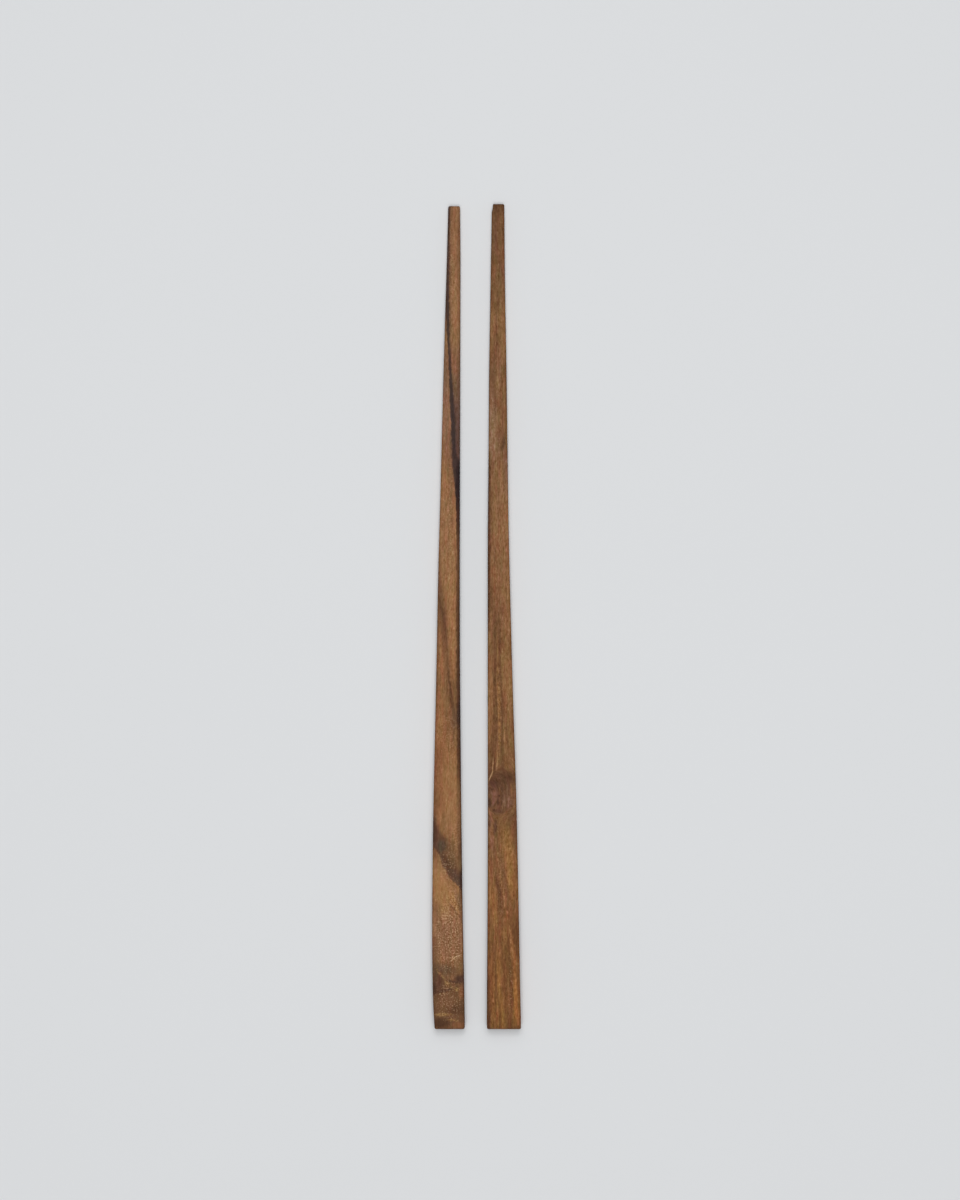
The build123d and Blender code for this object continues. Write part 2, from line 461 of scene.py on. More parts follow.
veinedWood = {
    "name": "veined_wood",
    "shape": leftShape,
    "lean": 0.35,  # how far the veins lean across as they go down through the stick
    "tilt": 0.02,  # how far the fibres run off the stick's line
    "rag": 0.40,  # mm of raggedness in the veins' edges
    "strands": (0.30, 3.6, 2.0, 0.5, 17.0),  # written as in fibreNoises
    "pith": (9.0, -26.0),  # x and height of the middle of the tree, which the growth rings go round
    "tones": {
        "plain": (136, 98, 66), "warm": (147, 103, 68), "pale": (160, 117, 78), "deep": (100, 69, 48),
        "ink": (42, 28, 18), "coal": (60, 47, 42), "smoke": (92, 66, 54), "rust": (143, 91, 60),
        "olive": (110, 82, 54), "bark": (68, 44, 28), "plum": (74, 50, 42), "gold": (164, 120, 74),
        "honey": (186, 144, 90), "pink": (146, 106, 79), "chalk": (214, 176, 132), "ember": (150, 96, 62),
        "brown": (104, 72, 50), "moss": (84, 68, 54), "dusk": (108, 80, 61), "fleckAndGlint": (186, 148, 114),
        "pit": (106, 68, 40), "crack": (212, 174, 134),
    },
    # slow changes from tip to butt: how bright the wood is, and how much green and blue its brown has
    "shade": [(0, 1.0), (6, 1.0), (14, 0.97), (30, 0.98), (38, 1.04), (46, 0.87), (54, 0.92), (61, 0.98),
              (69, 0.86), (78, 0.98), (90, 0.97), (110, 0.99), (130, 1.02), (142, 0.92), (150, 0.93),
              (162, 0.94), (175, 0.95), (188, 0.98), (203, 0.98), (214, 0.94), (219, 0.92), (222.5, 0.80),
              (226, 0.86), (231, 0.84), (239.4, 0.86)],
    "green": [(0, 1.0), (30, 1.02), (50, 1.07), (70, 1.04), (100, 1.02), (120, 1.0), (239.4, 1.0)],
    "blue": [(0, 1.12), (36, 1.14), (50, 1.30), (68, 1.26), (78, 1.12), (90, 1.12), (110, 1.04), (130, 1.0),
             (160, 0.96), (185, 1.0), (205, 1.06), (222, 1.0), (239.4, 1.0)],
    # how strongly the grain shows: its pale and its dark streaks, and then its changes of hue, clouds, spots,
    # strands, fibres, pores and bright flecks, which are partly painted glints
    "grain": {
        "streak": (0.50, 0.42), "blush": 0.30, "cloud": 0.22, "mottle": 0.50,
        "strand": 0.34, "fibre": 0.36, "pore": 0.26, "fleckAndGlint": 0.36,
    },
    "veins": [
        {  # the brown shade that lies along the dark vein by the tip
            "left": [(0, -30.0), (239.4, -30.0)],
            "right": [(0, -7.3), (12, -7.35), (25, -7.35), (35, -7.2), (45, -7.0), (60, -6.0),
                      (239.4, -6.0)],
            "soft": (0.5, 1.8), "tone": "brown",
            "strength": [(0, 0.85), (30, 0.8), (37, 0.4), (46, 0.0), (239.4, 0.0)],
        },
        {  # the soft brown along the right edge by the tip: partly the wood's own tone, partly painted shade of the rounded edge
            "left": [(0, -5.45), (6, -5.5), (14, -5.75), (25, -5.75), (60, -5.7), (239.4, -5.7)],
            "right": [(0, -1.0), (239.4, -1.0)],
            "soft": (0.6, 0.5), "tone": "brown",
            "strength": [(0, 0.1), (8, 0.5), (22, 0.6), (45, 0.5), (58, 0.4), (66, 0.0), (239.4, 0.0)],
        },
        {  # the smoky shade on the right of the dark vein
            "left": [(0, -4.0), (40, -5.4), (46, -6.9), (52, -6.9), (60, -7.0), (70, -7.5), (78, -6.9),
                     (84, -6.3), (92, -5.6), (239.4, -3.0)],
            "right": [(0, -1.0), (239.4, -1.0)],
            "soft": (1.2, 0.5), "tone": "smoke",
            "strength": [(0, 0.0), (42, 0.0), (50, 0.3), (56, 0.55), (61, 0.92), (72, 0.97), (82, 0.9),
                         (92, 0.0), (239.4, 0.0)],
        },
        {  # the dark vein that leaves the left edge by the tip and meets the right one
            "left": [(0, -8.9), (15.8, -9.2), (21, -9.5), (25, -9.4), (30, -9.1), (35, -8.78), (40, -8.5),
                     (46, -8.15), (50, -8.02), (57.7, -7.85), (62, -7.6), (66, -7.35), (70, -7.15),
                     (77, -6.85), (83, -6.25), (88, -5.95), (98, -5.85), (239.4, -5.4)],
            "right": [(0, -7.65), (6, -7.65), (14, -7.8), (22, -8.0), (30, -7.95), (35, -7.8), (40, -7.7),
                      (46, -7.35), (50.7, -7.0), (55.1, -6.65), (60.9, -6.3), (66, -6.15), (70, -6.0),
                      (74, -5.2), (80, -2.0), (98, -2.0), (239.4, -2.0)],
            "soft": (0.4, 0.75), "tone": "coal",
            "strength": [(0, 0.85), (20, 0.9), (27, 0.95), (33, 0.9), (45, 0.9), (57, 0.97), (70, 0.93),
                         (78, 0.9), (88, 0.8), (96, 0.2), (102, 0.0), (239.4, 0.0)],
        },
        {  # the black line that it leaves on the right edge
            "left": [(0, -5.0), (72, -5.7), (78, -5.95), (86, -5.88), (104, -5.72), (239.4, -5.0)],
            "right": [(0, -1.0), (239.4, -1.0)],
            "soft": (0.3, 0.5), "tone": "ink",
            "strength": [(0, 0.0), (70, 0.0), (77, 0.85), (90, 1.0), (96, 0.6), (106, 0.2), (112, 0.0),
                         (239.4, 0.0)],
        },
        {  # the brown rim down the rest of that edge
            "left": [(80, -5.7), (91, -5.86), (127, -5.88), (145, -5.88), (153, -5.75), (180, -5.7),
                     (190, -5.35), (200, -5.1), (210, -4.85), (239.4, -4.3)],
            "right": [(80, -1.0), (239.4, -1.0)],
            "soft": (0.35, 0.5), "tone": "bark",
            "strength": [(0, 0.0), (80, 0.0), (92, 0.75), (122, 0.8), (140, 0.8), (147, 0.95), (160, 0.8),
                         (172, 0.75), (184, 0.6), (195, 0.7), (207, 0.4), (216, 0.2), (224, 0.45),
                         (239.4, 0.6)],
        },
        {  # its outermost part is almost black
            "left": [(80, -5.3), (143, -5.4), (155, -5.2), (177, -4.9), (202, -4.6), (239.4, -3.8)],
            "right": [(80, -1.0), (239.4, -1.0)],
            "soft": (0.4, 0.5), "tone": "ink",
            "strength": [(0, 0.0), (90, 0.2), (120, 0.35), (142, 0.4), (147, 0.75), (155, 0.6), (165, 0.42),
                         (177, 0.42), (185, 0.4), (200, 0.35), (215, 0.2), (222, 0.4), (239.4, 0.5)],
        },
        {  # the soft shade of the streak half way down
            "left": [(100, -13.6), (112, -12.4), (118, -11.1), (126, -10.3), (134, -9.5), (140, -8.9),
                     (146, -8.1), (155, -7.3), (162, -6.4)],
            "right": [(100, -11.6), (106, -10.8), (112, -9.9), (118, -8.8), (126, -8.4), (134, -7.6),
                      (140, -6.0), (146, -4.8), (162, -4.6)],
            "soft": (1.1, 1.0), "tone": "brown",
            "strength": [(0, 0.0), (98, 0.0), (106, 0.5), (114, 0.75), (122, 0.85), (128, 0.65),
                         (134, 0.45), (138, 0.3), (142, 0.45), (148, 0.5), (155, 0.35), (162, 0.0),
                         (239.4, 0.0)],
        },
        {  # and its thin dark line
            "left": [(108.9, -13.0), (113.3, -11.6), (118.2, -10.4), (125.8, -9.1), (134.2, -8.55),
                     (138, -8.2), (142, -7.75), (146.5, -7.3), (152, -5.8), (158, -3.6)],
            "right": [(108.9, -12.2), (114.7, -10.6), (120.5, -9.2), (125.8, -8.5), (134.2, -8.05),
                      (138, -7.7), (142, -7.05), (146.5, -6.3), (152, -4.8), (158, -2.6)],
            "soft": (0.25, 0.3), "tone": "bark",
            "strength": [(0, 0.0), (107, 0.0), (113, 0.45), (122, 0.3), (130, 0.12), (134, 0.2), (138, 0.6),
                         (142, 0.55), (147, 0.45), (153, 0.3), (158, 0.0), (239.4, 0.0)],
        },
        {  # the left edge is a little darker all the way down: partly the wood's own tone, partly painted shade of the rounded edge
            "left": [(0, -30.0), (239.4, -30.0)],
            "right": [(0, -8.2), (37.9, -8.9), (84.4, -10.1), (104, -10.5), (131, -11.0), (150, -11.3),
                      (177.6, -11.8), (212.5, -12.3), (218, -12.0), (239.4, -11.8)],
            "soft": (0.5, 0.8), "tone": "deep",
            "strength": [(0, 0.2), (60, 0.25), (96, 0.35), (106, 0.6), (118, 0.6), (150, 0.5), (163, 0.45),
                         (175, 0.75), (200, 0.4), (212, 0.5), (218, 0.8), (239.4, 0.8)],
        },
        {  # the broad dark band that crosses near the butt
            "left": [(176, -14.0), (185.1, -13.2), (186.3, -12.4), (188.2, -11.2), (190.0, -10.4),
                     (192.4, -10.1), (193.0, -8.9), (195.1, -8.1), (196.4, -6.9), (197.8, -5.4),
                     (200, -3.2)],
            "right": [(174, -12.8), (180.5, -11.2), (182.8, -10.2), (184.0, -8.8), (186.0, -8.0),
                      (188.0, -7.6), (189.7, -6.5), (192.1, -5.5), (194.7, -4.5), (196.8, -3.6),
                      (200, -2.4)],
            "soft": (0.5, 2.0), "tone": "plum",
            "strength": [(0, 0.0), (175, 0.0), (180, 0.85), (188, 0.8), (197, 0.9), (200.5, 0.0),
                         (239.4, 0.0)],
        },
    ],
    # (x, mm from the tip, mm down, half width, half length, half depth, degrees its butt end swings right,
    # softness, tone, strength)
    "patches": [
        (-6.4, 22.0, 0.0, 1.1, 17.0, 5.0, 1, 0.7, "pale", 0.45),
        (-9.6, 49.0, 0.0, 1.2, 12.0, 5.0, 2, 0.8, "dusk", 0.35),
        (-9.2, 62.0, 0.0, 1.2, 12.0, 5.0, 2, 0.8, "pink", 0.35),
        (-8.2, 99.0, 0.0, 2.2, 13.0, 6.0, 3, 0.8, "pale", 0.35),
        (-7.6, 116.0, 0.0, 1.3, 9.0, 5.0, 3, 0.8, "pale", 0.4),
        (-6.5, 149.6, 0.0, 0.9, 2.8, 5.0, 0, 0.6, "dusk", 0.6),
        (-5.0, 148.0, 0.0, 0.65, 3.6, 5.0, 0, 0.5, "ink", 0.75),
        (-10.6, 163.0, 0.0, 1.7, 15.0, 5.0, 0, 0.9, "rust", 0.5),
        (-10.8, 167.0, 0.0, 1.6, 9.0, 5.0, 0, 0.9, "brown", 0.25),
        (-7.3, 172.0, 0.0, 2.2, 10.0, 6.0, 3, 0.7, "pale", 0.6),
        (-6.9, 189.2, 0.0, 1.9, 4.6, 6.0, 25, 0.8, "olive", 0.8),
        (-12.4, 182.2, 0.0, 0.9, 3.2, 5.0, 0, 0.5, "bark", 0.5),
        (-10.2, 186.3, 0.0, 1.2, 1.7, 5.0, 10, 0.5, "moss", 0.85),
        (-9.0, 188.6, 0.0, 0.8, 1.0, 4.0, 30, 0.6, "brown", 0.6),
        (-8.6, 191.0, 0.0, 0.7, 2.0, 5.0, 23, 0.5, "bark", 0.45),
        (-7.0, 193.8, 0.0, 0.8, 1.4, 5.0, 35, 0.6, "moss", 0.5),
        (-5.6, 196.2, 0.0, 0.9, 1.7, 5.0, 40, 0.6, "moss", 0.6),
        (-4.3, 196.2, 0.0, 0.6, 3.4, 6.0, 0, 0.5, "ink", 0.7),
        (-11.4, 193.5, 0.0, 1.8, 3.6, 6.0, 20, 0.7, "pale", 0.55),
        (-9.2, 200.2, 0.0, 3.2, 6.0, 6.0, 25, 0.6, "gold", 0.6),
        (-9.5, 205.8, 0.0, 1.0, 2.6, 4.0, 8, 0.8, "honey", 0.4),
        (-6.2, 202.8, 0.0, 1.1, 3.2, 5.0, 30, 0.6, "honey", 0.45),
        (-4.8, 203.4, 0.0, 0.8, 4.0, 4.0, 20, 0.7, "dusk", 0.6),
        (-6.4, 204.9, 0.0, 0.22, 3.0, 4.0, 38, 0.6, "deep", 0.6),
        (-8.5, 213.0, 0.0, 4.6, 7.0, 7.0, 0, 0.5, "pink", 0.5),
        (-12.0, 216.6, 0.0, 0.8, 3.4, 4.0, 0, 0.8, "brown", 0.6),
        (-8.2, 233.5, 0.0, 9.0, 9.5, 12.0, 0, 0.3, "brown", 0.75),
        (-6.6, 218.9, 0.0, 0.15, 1.1, 1.0, -52, 0.5, "crack", 0.7),
        (-5.4, 218.2, 0.0, 0.15, 1.0, 1.0, -68, 0.5, "crack", 0.75),
        (-9.6, 222.0, 0.0, 3.6, 1.4, 4.0, -12, 0.7, "moss", 0.6),
        (-4.6, 224.8, 0.0, 1.6, 1.2, 5.0, 0, 0.5, "plum", 0.85),
        (-6.5, 225.7, 0.0, 1.8, 0.4, 3.0, -8, 0.5, "plum", 0.7),
        (-11.3, 225.6, 0.0, 1.9, 3.2, 5.0, 0, 0.6, "plum", 0.6),
        (-12.3, 227.9, 0.0, 0.6, 1.7, 4.0, 0, 0.5, "bark", 0.9),
        (-10.4, 223.6, 0.0, 0.3, 2.4, 3.0, 36, 0.9, "honey", 0.4),
        (-8.5, 226.2, 0.0, 0.7, 0.6, 2.0, -30, 0.7, "honey", 0.5),
        (-6.3, 227.7, 0.0, 1.2, 0.5, 2.0, -15, 0.6, "honey", 0.8),
        (-9.2, 228.2, 0.0, 3.0, 0.4, 3.0, 15, 0.6, "plum", 0.7),
        (-10.6, 229.1, 0.0, 0.22, 0.24, 0.6, 0, 0.5, "chalk", 0.7),
        (-9.6, 229.1, 0.0, 0.3, 0.22, 0.6, 0, 0.5, "chalk", 0.6),
        (-4.5, 228.9, 0.0, 0.6, 1.8, 3.0, 0, 0.6, "ember", 0.6),
        (-8.2, 231.6, 0.0, 1.6, 1.5, 4.0, 0, 0.9, "pink", 0.35),
        (-5.6, 233.8, 0.0, 2.2, 1.5, 5.0, 0, 0.7, "bark", 0.5),
        (-9.7, 235.1, 0.0, 2.3, 0.4, 2.0, 0, 0.6, "honey", 0.6),
        (-10.6, 237.6, 0.0, 2.8, 1.6, 5.0, 0, 0.6, "bark", 0.75),
        (-6.9, 236.8, 0.0, 1.5, 0.35, 2.0, -8, 0.6, "honey", 0.65),
        (-5.3, 238.3, 0.0, 1.8, 0.9, 4.0, 0, 0.6, "ember", 0.4),
        (-9.5, 70.0, 8.0, 2.4, 28.0, 2.4, 2, 0.6, "bark", 0.7),
        (-8.0, 120.0, 8.0, 1.2, 34.0, 3.0, 3, 0.7, "gold", 0.5),
        (-10.0, 160.0, 9.0, 1.6, 22.0, 2.6, 4, 0.6, "smoke", 0.7),
    ],
    # where the fibres come up to the face, so that they show as pale dots on dark, the dots partly painted
    # glints: (x, mm from the tip, half width, half length, softness, strength)
    "stipple": [
        (-7.9, 213.2, 4.0, 9.0, 0.45, 0.95),
        (-6.2, 201.5, 2.2, 5.0, 0.7, 0.5),
        (-8.3, 192.0, 2.0, 4.6, 0.7, 0.5),
        (-7.9, 231.0, 3.8, 5.4, 0.6, 0.55),
        (-6.2, 183.5, 1.8, 5.0, 0.6, 0.35),
        (-7.2, 19.0, 0.9, 14.0, 0.7, 0.3),
        (-7.6, 90.0, 0.8, 18.0, 0.8, 0.35),
        (-8.2, 153.0, 3.0, 6.0, 0.8, 0.3),
    ],
    "speckled": ("honey", "chalk"),  # tones that show as rows of flecks
    # how far the fibres have turned up there
    "upright": [(0, 0.0), (150, 0.0), (170, 0.35), (188, 0.6), (202, 0.95), (222, 1.0), (239.4, 0.85)],
    "knot": None,
}

straightWood = {
    "name": "straight_grained_wood",
    "shape": rightShape,
    "lean": -0.25,
    "tilt": -0.005,
    "rag": 0.45,
    "strands": (0.30, 4.6, 2.0, 0.5, 17.0),  # written as in fibreNoises
    "pith": (-16.0, -20.0),
    "tones": {
        "plain": (124, 87, 58), "warm": (132, 92, 60), "pale": (146, 107, 70), "deep": (92, 61, 40),
        "ink": (60, 41, 32), "plum": (86, 56, 46), "olive": (112, 84, 50), "gold": (156, 113, 66),
        "ember": (154, 105, 64), "rust": (134, 84, 56), "pink": (134, 91, 74), "bark": (80, 54, 38),
        "ash": (158, 124, 94), "brown": (106, 73, 50), "dusk": (118, 86, 65),
        "fleckAndGlint": (176, 138, 104), "pit": (98, 62, 34), "line": (166, 122, 86), "heart": (92, 62, 47),
        "crack": (196, 154, 112),
    },
    "shade": [(0, 0.66), (4, 0.72), (12, 0.83), (22, 0.82), (30, 0.90), (38, 0.98), (50, 0.98), (62, 0.94),
              (70, 0.94), (80, 0.99), (100, 1.01), (114, 0.97), (125, 0.93), (135, 0.96), (150, 1.0),
              (158, 1.0), (166, 0.96), (172, 0.97), (179, 0.86), (190, 0.97), (205, 0.98), (222, 0.97),
              (232, 0.99), (240, 0.86)],
    "green": [(0, 1.02), (60, 1.03), (110, 1.0), (185, 0.98), (205, 0.92), (240, 0.92)],
    "blue": [(0, 1.06), (30, 1.06), (50, 1.10), (95, 1.12), (118, 1.04), (150, 0.98), (175, 1.0),
             (190, 0.92), (205, 0.84), (215, 0.74), (240, 0.70)],
    "grain": {
        "streak": (0.66, 0.62), "blush": 0.33, "cloud": 0.20, "mottle": 0.62,
        "strand": 0.50, "fibre": 0.42, "pore": 0.30, "fleckAndGlint": 0.40,
    },
    "veins": [
        {  # the dark streak above the knot, which comes from the shade on the left
            "left": [(104, 3.4), (114, 3.6), (121, 4.6), (128, 5.0), (134, 4.9), (140, 5.0), (147, 4.7),
                     (153, 4.4), (160, 4.0), (168, 3.6)],
            "right": [(104, 4.2), (114, 5.0), (121, 5.8), (128, 6.0), (134, 6.0), (140, 5.8), (147, 5.95),
                      (153, 6.0), (160, 5.5), (168, 5.2)],
            "soft": (0.6, 0.4), "tone": "deep",
            "strength": [(0, 0.0), (104, 0.0), (114, 0.35), (121, 0.35), (128, 0.3), (140, 0.55),
                         (150, 0.6), (160, 0.65), (167, 0.3), (170, 0.0), (240, 0.0)],
        },
        {  # a second, thinner one on the other side of the pale streak
            "left": [(118, 5.95), (127, 6.15), (134, 6.45), (140, 6.85), (147, 7.1), (153, 7.1), (160, 6.9),
                     (167, 6.6)],
            "right": [(118, 6.55), (127, 7.15), (134, 7.2), (140, 7.4), (147, 7.75), (153, 7.8), (160, 8.1),
                      (167, 8.2)],
            "soft": (0.4, 0.5), "tone": "deep",
            "strength": [(0, 0.0), (118, 0.0), (127, 0.65), (134, 0.5), (147, 0.6), (160, 0.5), (167, 0.2),
                         (169, 0.0), (240, 0.0)],
        },
        {  # the pale streak between them, which ends in a fine line
            "left": [(122, 6.0), (133, 6.05), (140, 5.95), (147, 6.2), (153, 6.35), (158, 6.3), (164, 5.8)],
            "right": [(122, 6.3), (133, 6.35), (140, 6.65), (147, 6.85), (153, 7.0), (158, 6.75),
                      (164, 6.1)],
            "soft": (0.25, 0.35), "tone": "gold", "broken": True,
            "strength": [(0, 0.0), (121, 0.0), (127, 0.3), (136, 0.4), (147, 0.5), (154, 0.65), (160, 0.6),
                         (164, 0.5), (165.5, 0.0), (240, 0.0)],
        },
        {  # the pale line that wanders from the left to the right below the knot
            "left": [(183, 5.2), (186, 5.5), (189, 5.85), (192, 6.25), (195, 6.7), (198, 7.15), (201, 7.6),
                     (204, 8.0), (207, 8.75), (210, 9.05), (213, 9.4), (218, 10.2), (225, 10.85),
                     (232, 11.2)],
            "right": [(183, 5.5), (186, 5.8), (189, 6.2), (192, 6.6), (195, 7.05), (198, 7.5), (201, 8.0),
                      (204, 8.5), (207, 9.3), (210, 9.65), (213, 9.95), (218, 10.75), (225, 11.35),
                      (232, 11.6)],
            "soft": (0.3, 0.3), "tone": "line", "broken": True,
            "strength": [(0, 0.0), (182, 0.0), (188, 0.6), (196, 0.7), (204, 0.5), (212, 0.5), (219, 0.4),
                         (227, 0.6), (233, 0.0), (240, 0.0)],
        },
        {  # the pale streak down the middle of the butt
            "left": [(213, 5.9), (225, 6.0), (231, 6.6), (240, 7.3)],
            "right": [(213, 6.7), (225, 6.9), (231, 7.6), (240, 8.2)],
            "soft": (0.4, 0.5), "tone": "gold",
            "strength": [(0, 0.0), (211, 0.0), (218, 0.2), (231, 0.4), (240, 0.3)],
        },
        {  # the shade between that streak and the glowing one
            "left": [(208, 8.6), (214, 8.3), (218, 7.9), (225, 7.9), (231, 8.4), (240, 8.7)],
            "right": [(208, 9.2), (214, 9.4), (218, 9.6), (225, 10.2), (231, 10.2), (240, 10.4)],
            "soft": (0.6, 0.5), "tone": "deep",
            "strength": [(0, 0.0), (208, 0.0), (216, 0.35), (225, 0.4), (233, 0.4), (240, 0.6)],
        },
        {  # the dark line in it
            "left": [(213, 9.1), (222, 9.4), (236, 9.7)],
            "right": [(213, 9.5), (222, 10.0), (236, 10.3)],
            "soft": (0.4, 0.3), "tone": "deep",
            "strength": [(0, 0.0), (213, 0.0), (219, 0.4), (231, 0.3), (237, 0.2), (240, 0.0)],
        },
        {  # the glowing streak beside the right edge
            "left": [(214, 10.6), (225, 10.7), (238, 10.9)],
            "right": [(214, 11.1), (225, 11.6), (238, 12.1)],
            "soft": (0.4, 0.5), "tone": "ember",
            "strength": [(0, 0.0), (214, 0.0), (220, 0.3), (226, 0.65), (232, 0.85), (237, 0.5),
                         (239.5, 0.1), (240, 0.0)],
        },
        {  # the dark band along the right edge, above it
            "left": [(196, 10.6), (202, 9.8), (206, 9.7), (212, 10.3), (216, 11.0), (220, 11.5),
                     (226, 12.0)],
            "right": [(196, 30.0), (240, 30.0)],
            "soft": (0.6, 0.5), "tone": "deep",
            "strength": [(0, 0.0), (200, 0.0), (206, 0.25), (211, 0.6), (215, 0.7), (219, 0.6), (226, 0.1),
                         (240, 0.3)],
        },
        {  # the left edge is darker down most of it: partly the wood's own tone, partly painted shade of the rounded edge
            "left": [(0, -30.0), (240, -30.0)],
            "right": [(0, 4.7), (50, 4.1), (75, 4.0), (97, 3.95), (118, 3.9), (145, 3.6), (160, 3.7),
                      (200, 3.5), (222, 3.6), (230, 4.1), (240, 4.0)],
            "soft": (0.4, 0.7), "tone": "bark",
            "strength": [(0, 0.2), (46, 0.3), (54, 0.5), (64, 0.3), (76, 0.6), (84, 0.95), (115, 0.9),
                         (124, 0.5), (134, 0.1), (158, 0.1), (166, 0.4), (186, 0.3), (206, 0.35),
                         (217, 0.45), (228, 0.75), (240, 0.8)],
        },
        {  # and so is the right one beside the knot and below: partly tone, partly painted shade of the rounded edge
            "left": [(0, 7.9), (60, 8.5), (120, 9.6), (150, 10.3), (160, 10.5), (170, 11.2), (183, 10.9),
                     (190, 11.2), (215, 11.9), (240, 12.4)],
            "right": [(0, 30.0), (240, 30.0)],
            "soft": (0.6, 0.5), "tone": "bark",
            "strength": [(0, 0.35), (60, 0.3), (80, 0.3), (96, 0.05), (145, 0.2), (156, 0.5), (168, 0.3),
                         (184, 0.4), (192, 0.3), (200, 0.2), (220, 0.2), (240, 0.3)],
        },
    ],
    "patches": [
        (6.2, 0.4, 0.0, 3.4, 2.2, 5.0, 0, 0.4, "deep", 0.4),
        (4.9, 8.0, 0.0, 0.8, 5.0, 3.0, 3, 0.8, "dusk", 0.5),
        (6.8, 8.5, 0.0, 1.0, 4.0, 3.0, 0, 0.8, "brown", 0.4),
        (5.0, 19.5, 0.0, 0.6, 2.4, 3.0, 2, 0.8, "rust", 0.5),
        (7.2, 21.0, 0.0, 1.0, 8.0, 3.0, 0, 0.8, "brown", 0.35),
        (5.5, 25.0, 0.0, 0.7, 3.4, 3.0, 0, 0.8, "pale", 0.4),
        (7.4, 31.0, 0.0, 0.9, 10.0, 3.0, 1, 0.8, "pale", 0.45),
        (4.7, 49.0, 0.0, 0.9, 4.6, 3.0, 0, 0.8, "brown", 0.65),
        (6.5, 49.5, 0.0, 0.7, 5.6, 3.0, 0, 0.8, "ash", 0.2),
        (5.25, 57.0, 0.0, 0.55, 4.4, 3.0, 4, 0.8, "brown", 0.55),
        (4.3, 57.5, 0.0, 0.6, 4.4, 3.0, 0, 0.7, "ash", 0.28),
        (4.9, 67.0, 0.0, 1.2, 7.0, 4.0, 2, 0.8, "ash", 0.5),
        (7.6, 69.5, 0.0, 1.2, 4.4, 4.0, -8, 0.8, "brown", 0.7),
        (7.9, 69.8, 0.0, 0.5, 2.0, 3.0, -8, 0.7, "ink", 0.65),
        (8.4, 78.0, 0.0, 0.8, 6.0, 4.0, 0, 0.8, "dusk", 0.7),
        (7.6, 98.0, 0.0, 2.2, 24.0, 6.0, 1, 0.8, "pale", 0.35),
        (9.2, 138.0, 0.0, 0.9, 22.0, 6.0, 2, 0.8, "pale", 0.5),
        (4.0, 145.0, 0.0, 0.7, 12.0, 4.0, 0, 0.8, "pale", 0.4),
        (6.2, 121.5, 0.0, 1.6, 5.0, 4.0, 0, 0.9, "brown", 0.45),
        (8.8, 160.0, 0.0, 2.2, 4.2, 6.0, 0, 0.9, "olive", 0.35),
        (7.4, 166.8, 0.0, 4.6, 2.2, 6.0, 0, 0.6, "bark", 0.6),
        (10.3, 167.4, 0.0, 1.0, 2.0, 5.0, 0, 0.6, "bark", 0.6),
        (6.0, 169.0, 0.0, 1.4, 0.9, 4.0, 12, 0.7, "bark", 0.5),
        (4.75, 163.8, 0.0, 0.18, 1.9, 1.0, -3, 0.7, "crack", 0.6),
        (4.1, 166.7, 0.0, 0.14, 1.7, 1.0, -22, 0.6, "crack", 0.6),
        (6.0, 162.2, 0.0, 0.14, 2.4, 1.0, -4, 0.6, "crack", 0.4),
        (4.8, 169.0, 0.0, 1.0, 1.5, 4.0, 0, 0.7, "plum", 0.6),
        (9.6, 173.0, 0.0, 1.5, 2.6, 4.0, 0, 0.9, "dusk", 0.5),
        (5.2, 172.2, 0.0, 0.9, 1.8, 3.0, 0, 0.7, "pink", 0.45),
        (5.0, 171.9, 0.0, 0.3, 1.0, 2.0, 4, 0.7, "pink", 0.5),
        (4.9, 174.2, 0.0, 0.35, 0.8, 2.0, 0, 0.7, "pink", 0.6),
        (4.8, 170.4, 0.0, 0.34, 0.3, 1.0, 0, 0.5, "ink", 0.55),
        (6.6, 172.2, 0.0, 0.3, 0.32, 1.0, 0, 0.5, "ink", 0.55),
        (6.2, 174.0, 0.0, 0.3, 0.9, 1.0, 6, 0.6, "ink", 0.5),
        (7.6, 170.2, 0.0, 0.5, 0.9, 1.0, 0, 0.7, "ink", 0.3),
        (7.2, 174.8, 0.0, 0.3, 0.6, 1.0, 0, 0.6, "ink", 0.35),
        (5.0, 176.4, 0.0, 0.5, 0.35, 1.0, 0, 0.6, "ink", 0.5),
        (8.0, 174.0, 0.0, 0.3, 1.3, 1.0, 0, 0.8, "ash", 0.4),
        (9.3, 174.6, 0.0, 0.3, 2.0, 1.0, -3, 0.8, "ash", 0.35),
        (10.2, 171.2, 0.0, 0.4, 2.2, 1.0, 0, 0.8, "gold", 0.3),
        (3.6, 174.4, 0.0, 0.6, 1.4, 3.0, 0, 0.5, "ink", 0.7),
        (6.2, 176.9, 0.0, 1.6, 0.7, 3.0, 0, 0.7, "plum", 0.6),
        (5.8, 179.0, 0.0, 1.2, 1.6, 3.0, 10, 0.8, "olive", 0.5),
        (9.6, 179.8, 0.0, 1.5, 2.8, 4.0, 0, 0.8, "deep", 0.4),
        (7.6, 184.2, 0.0, 1.2, 3.4, 3.0, 0, 0.8, "gold", 0.4),
        (10.4, 183.2, 0.0, 0.6, 3.4, 3.0, 0, 0.8, "rust", 0.5),
        (4.4, 183.0, 0.0, 0.42, 5.0, 3.0, 2, 0.7, "pink", 0.7),
        (4.5, 182.3, 0.0, 0.4, 2.6, 2.0, 2, 0.8, "ember", 0.45),
        (5.4, 181.6, 0.0, 0.5, 2.0, 3.0, -4, 0.6, "plum", 0.65),
        (3.8, 180.2, 0.0, 0.4, 1.0, 2.0, 0, 0.6, "plum", 0.5),
        (9.4, 189.5, 0.0, 1.4, 8.5, 5.0, 4, 0.7, "gold", 0.55),
        (10.2, 197.4, 0.0, 1.1, 4.4, 5.0, 4, 0.7, "gold", 0.55),
        (7.9, 194.6, 0.0, 0.6, 4.6, 3.0, 6, 0.8, "brown", 0.5),
